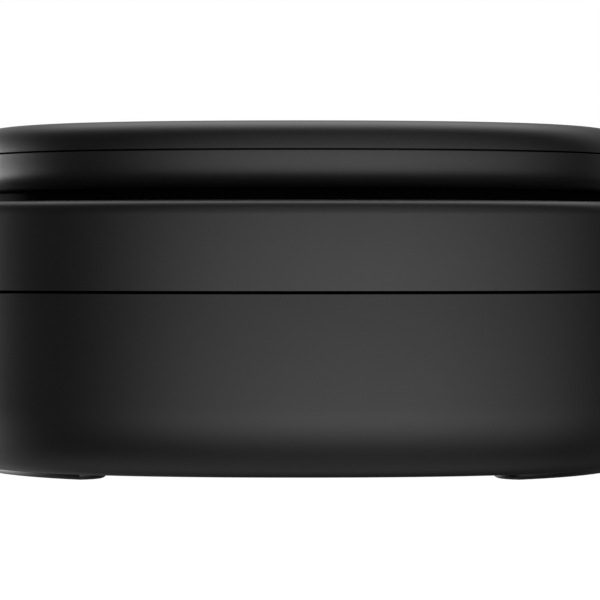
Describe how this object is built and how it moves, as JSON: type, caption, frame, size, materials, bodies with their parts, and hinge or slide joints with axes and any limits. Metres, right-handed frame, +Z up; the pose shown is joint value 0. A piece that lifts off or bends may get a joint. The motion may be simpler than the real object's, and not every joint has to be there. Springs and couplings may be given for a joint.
{
  "type": "wireless earbuds charging case",
  "caption": "Low rounded-square desk case for wireless earbuds: hinged lid over a shadow gap, two charging wells, a charging socket at the back and low corner feet.",
  "frame": {"origin": "on the surface the case stands on, under the middle of the case", "axes": "+Z up, +Y towards the hinge and charging socket at the back, -Y towards the opening side, +X towards the pairing button"},
  "size_m": [0.074, 0.074, 0.0318],
  "materials": {
    "case_plastic": "satin, fine moulded texture",
    "inner_plastic": "matte",
    "foot_rubber": "smooth",
    "hinge_metal": "satin black",
    "steel": "satin",
    "black_plastic": "matte",
    "button_plastic": "satin",
    "clear_plastic": "frosted clear",
    "lamp": "clear",
    "board_green": "solder mask",
    "gold_contact": "gold plated",
    "cell_pouch": "laminated foil",
    "foam": "closed-cell foam",
    "flex_film": "polyimide film",
    "copper_coil": "enamelled copper",
    "ferrite": "matte",
    "magnet_nickel": "nickel plated"
  },
  "bodies": {
    "base": {"base_lower_shell": "case_plastic", "base_collar": "case_plastic", "foot_front_left": "foot_rubber", "foot_front_right": "foot_rubber", "foot_rear_left": "foot_rubber", "foot_rear_right": "foot_rubber", "earbud_tray": "inner_plastic", "hinge_bracket": "hinge_metal", "hinge_pin": "steel", "charging_board": "board_green", "usb_c_receptacle": "steel", "usb_c_tongue": "black_plastic", "charge_controller_chip": "black_plastic", "bluetooth_pairing_chip": "black_plastic", "power_inductor": "black_plastic", "hall_sensor": "black_plastic", "status_led": "lamp", "button_switch": "black_plastic", "light_pipe": "clear_plastic", "contact_barrels": "gold_contact", "contact_spring_front_left": "steel", "contact_spring_front_right": "steel", "contact_spring_rear_left": "steel", "contact_spring_rear_right": "steel", "battery_cell": "cell_pouch", "battery_foam_pad": "foam", "battery_flex_strip": "flex_film", "wireless_charging_coil": "copper_coil", "coil_ferrite_sheet": "ferrite", "base_closing_magnets": "magnet_nickel", "earbud_magnets": "magnet_nickel", "tray_screws": "steel", "board_screws": "steel"},
    "lid": {"lid_hinge_arm": "hinge_metal", "lid_ring": "case_plastic", "lid_cap": "case_plastic", "lid_liner": "inner_plastic", "lid_bumpers": "foot_rubber", "lid_closing_magnets": "magnet_nickel", "lid_hinge_screws": "steel"},
    "pairing_button": {"pairing_button": "button_plastic"},
    "contact_pin_front_left": {"contact_pin_front_left": "gold_contact"},
    "contact_pin_front_right": {"contact_pin_front_right": "gold_contact"},
    "contact_pin_rear_left": {"contact_pin_rear_left": "gold_contact"},
    "contact_pin_rear_right": {"contact_pin_rear_right": "gold_contact"}
  },
  "joints": [
    {"name": "lid_hinge", "type": "hinge", "parent": "base", "child": "lid", "pos_m": [0, 0.0343, 0.02675], "axis": [-1, 0, 0], "range_deg": [0, 105]},
    {"name": "button_press", "type": "slide", "parent": "base", "child": "pairing_button", "axis": [-1, 0, 0], "range_m": [0, 0.00035], "stiffness_N_per_m": 800},
    {"name": "contact_pin_front_left_press", "type": "slide", "parent": "base", "child": "contact_pin_front_left", "axis": [0, 0, -1], "range_m": [0, 0.0005], "stiffness_N_per_m": 300, "deforming": ["contact_spring_front_left"]},
    {"name": "contact_pin_front_right_press", "type": "slide", "parent": "base", "child": "contact_pin_front_right", "axis": [0, 0, -1], "range_m": [0, 0.0005], "stiffness_N_per_m": 300, "deforming": ["contact_spring_front_right"]},
    {"name": "contact_pin_rear_left_press", "type": "slide", "parent": "base", "child": "contact_pin_rear_left", "axis": [0, 0, -1], "range_m": [0, 0.0005], "stiffness_N_per_m": 300, "deforming": ["contact_spring_rear_left"]},
    {"name": "contact_pin_rear_right_press", "type": "slide", "parent": "base", "child": "contact_pin_rear_right", "axis": [0, 0, -1], "range_m": [0, 0.0005], "stiffness_N_per_m": 300, "deforming": ["contact_spring_rear_right"]}
  ]
}
